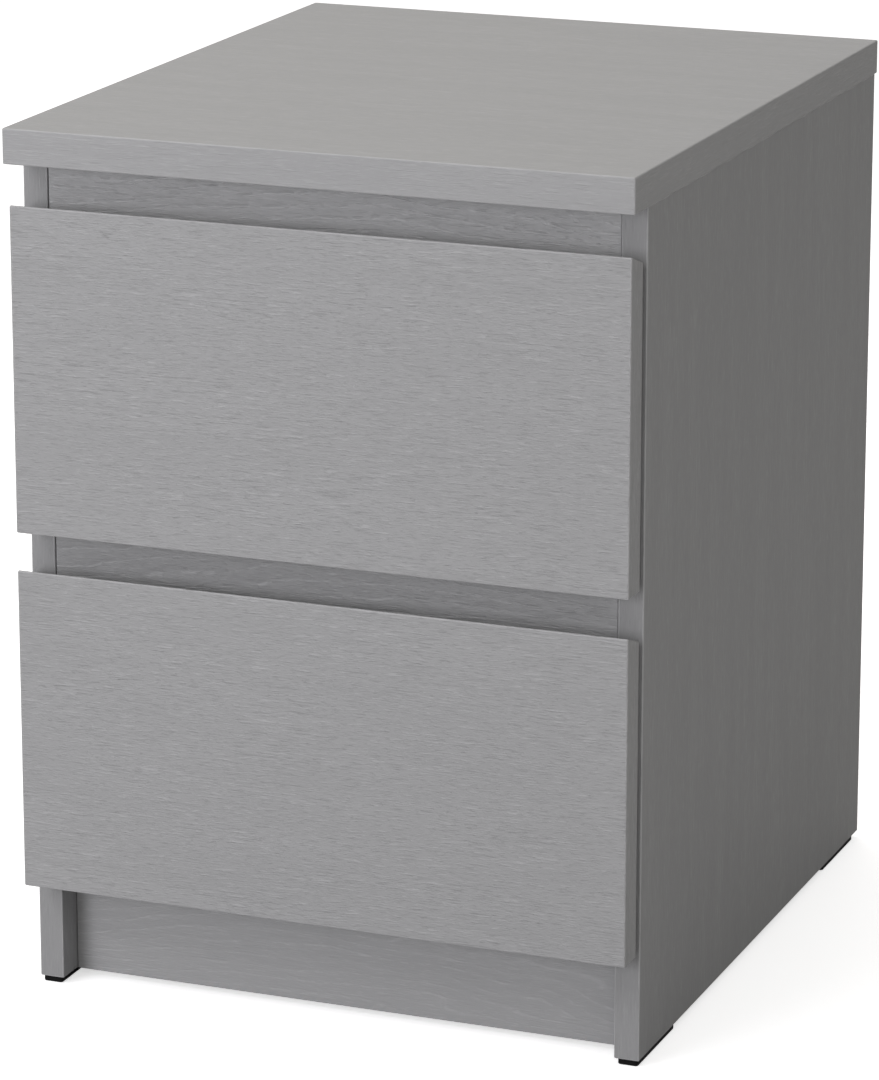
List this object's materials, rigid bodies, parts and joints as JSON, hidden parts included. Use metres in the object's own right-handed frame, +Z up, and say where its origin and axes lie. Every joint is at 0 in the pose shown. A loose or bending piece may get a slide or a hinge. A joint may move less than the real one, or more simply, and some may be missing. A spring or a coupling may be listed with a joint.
{
  "type": "nightstand",
  "caption": "Nightstand with two handle-less drawers on roller runners, overlay fronts with finger gaps, and side panels that stand on the floor as legs.",
  "frame": {"origin": "on the floor, under the middle of the top panel", "axes": "+Z up, +X to the right and +Y to the back as seen by someone facing the drawers; the drawers open towards -Y"},
  "size_m": [0.4, 0.48, 0.55],
  "materials": {
    "veneer": "grey-stained open-pore veneer, matt lacquer",
    "hardboard": "raw hardboard",
    "drawer_board": "foil-wrapped particleboard, matt",
    "drawer_bottom_board": "painted hardboard",
    "runner_steel": "white epoxy-coated sheet steel",
    "zinc": "zinc-plated",
    "nylon": "moulded nylon",
    "dowel_wood": "plain beech",
    "glide_plastic": "moulded, black"
  },
  "bodies": {
    "cabinet": {"top_panel": "veneer", "side_panel_left": "veneer", "side_panel_right": "veneer", "front_rail_top": "veneer", "front_rail_middle": "veneer", "plinth": "veneer", "rear_rail": "veneer", "back_panel": "hardboard", "back_panel_nails": "zinc", "glide_front_left": "glide_plastic", "glide_front_right": "glide_plastic", "glide_rear_left": "glide_plastic", "glide_rear_right": "glide_plastic", "wall_bracket": "zinc", "wall_bracket_screws": "zinc", "cabinet_cams": "zinc", "cabinet_cam_bolts": "zinc", "cabinet_dowels": "dowel_wood", "runner_upper_left": "runner_steel", "runner_upper_right": "runner_steel", "runner_lower_left": "runner_steel", "runner_lower_right": "runner_steel", "runner_rivets": "zinc", "runner_screws": "zinc"},
    "drawer_upper": {"drawer_upper_front": "veneer", "drawer_upper_side_left": "drawer_board", "drawer_upper_side_right": "drawer_board", "drawer_upper_back": "drawer_board", "drawer_upper_bottom": "drawer_bottom_board", "drawer_upper_runner_left": "runner_steel", "drawer_upper_runner_right": "runner_steel", "drawer_upper_runner_rivets": "zinc", "drawer_upper_runner_screws": "zinc", "drawer_upper_cams": "zinc", "drawer_upper_cam_bolts": "zinc", "drawer_upper_dowels": "dowel_wood", "drawer_upper_back_screws": "zinc"},
    "front_roller_upper_left": {"front_roller_upper_left": "nylon"},
    "drawer_upper_roller_left": {"drawer_upper_roller_left": "nylon"},
    "front_roller_upper_right": {"front_roller_upper_right": "nylon"},
    "drawer_upper_roller_right": {"drawer_upper_roller_right": "nylon"},
    "drawer_lower": {"drawer_lower_front": "veneer", "drawer_lower_side_left": "drawer_board", "drawer_lower_side_right": "drawer_board", "drawer_lower_back": "drawer_board", "drawer_lower_bottom": "drawer_bottom_board", "drawer_lower_runner_left": "runner_steel", "drawer_lower_runner_right": "runner_steel", "drawer_lower_runner_rivets": "zinc", "drawer_lower_runner_screws": "zinc", "drawer_lower_cams": "zinc", "drawer_lower_cam_bolts": "zinc", "drawer_lower_dowels": "dowel_wood", "drawer_lower_back_screws": "zinc"},
    "front_roller_lower_left": {"front_roller_lower_left": "nylon"},
    "drawer_lower_roller_left": {"drawer_lower_roller_left": "nylon"},
    "front_roller_lower_right": {"front_roller_lower_right": "nylon"},
    "drawer_lower_roller_right": {"drawer_lower_roller_right": "nylon"}
  },
  "joints": [
    {"name": "drawer_upper_slide", "type": "slide", "parent": "cabinet", "child": "drawer_upper", "axis": [0, -1, 0], "range_m": [0, 0.31]},
    {"name": "front_roller_upper_left_spin", "type": "hinge", "parent": "cabinet", "child": "front_roller_upper_left", "pos_m": [-0.178, -0.1985, 0.322], "axis": [1, 0, 0], "continuous": true},
    {"name": "drawer_upper_roller_left_spin", "type": "hinge", "parent": "drawer_upper", "child": "drawer_upper_roller_left", "pos_m": [-0.1755, 0.1715, 0.322], "axis": [1, 0, 0], "continuous": true},
    {"name": "front_roller_upper_right_spin", "type": "hinge", "parent": "cabinet", "child": "front_roller_upper_right", "pos_m": [0.178, -0.1985, 0.322], "axis": [1, 0, 0], "continuous": true},
    {"name": "drawer_upper_roller_right_spin", "type": "hinge", "parent": "drawer_upper", "child": "drawer_upper_roller_right", "pos_m": [0.1755, 0.1715, 0.322], "axis": [1, 0, 0], "continuous": true},
    {"name": "drawer_lower_slide", "type": "slide", "parent": "cabinet", "child": "drawer_lower", "axis": [0, -1, 0], "range_m": [0, 0.31]},
    {"name": "front_roller_lower_left_spin", "type": "hinge", "parent": "cabinet", "child": "front_roller_lower_left", "pos_m": [-0.178, -0.1985, 0.0945], "axis": [1, 0, 0], "continuous": true},
    {"name": "drawer_lower_roller_left_spin", "type": "hinge", "parent": "drawer_lower", "child": "drawer_lower_roller_left", "pos_m": [-0.1755, 0.1715, 0.0945], "axis": [1, 0, 0], "continuous": true},
    {"name": "front_roller_lower_right_spin", "type": "hinge", "parent": "cabinet", "child": "front_roller_lower_right", "pos_m": [0.178, -0.1985, 0.0945], "axis": [1, 0, 0], "continuous": true},
    {"name": "drawer_lower_roller_right_spin", "type": "hinge", "parent": "drawer_lower", "child": "drawer_lower_roller_right", "pos_m": [0.1755, 0.1715, 0.0945], "axis": [1, 0, 0], "continuous": true}
  ],
  "couplings": [
    {"joint": "front_roller_upper_left_spin", "follows": "drawer_upper_slide", "rad_per_m": 95.238},
    {"joint": "drawer_upper_roller_left_spin", "follows": "drawer_upper_slide", "rad_per_m": 95.238},
    {"joint": "front_roller_upper_right_spin", "follows": "drawer_upper_slide", "rad_per_m": 95.238},
    {"joint": "drawer_upper_roller_right_spin", "follows": "drawer_upper_slide", "rad_per_m": 95.238},
    {"joint": "front_roller_lower_left_spin", "follows": "drawer_lower_slide", "rad_per_m": 95.238},
    {"joint": "drawer_lower_roller_left_spin", "follows": "drawer_lower_slide", "rad_per_m": 95.238},
    {"joint": "front_roller_lower_right_spin", "follows": "drawer_lower_slide", "rad_per_m": 95.238},
    {"joint": "drawer_lower_roller_right_spin", "follows": "drawer_lower_slide", "rad_per_m": 95.238}
  ]
}
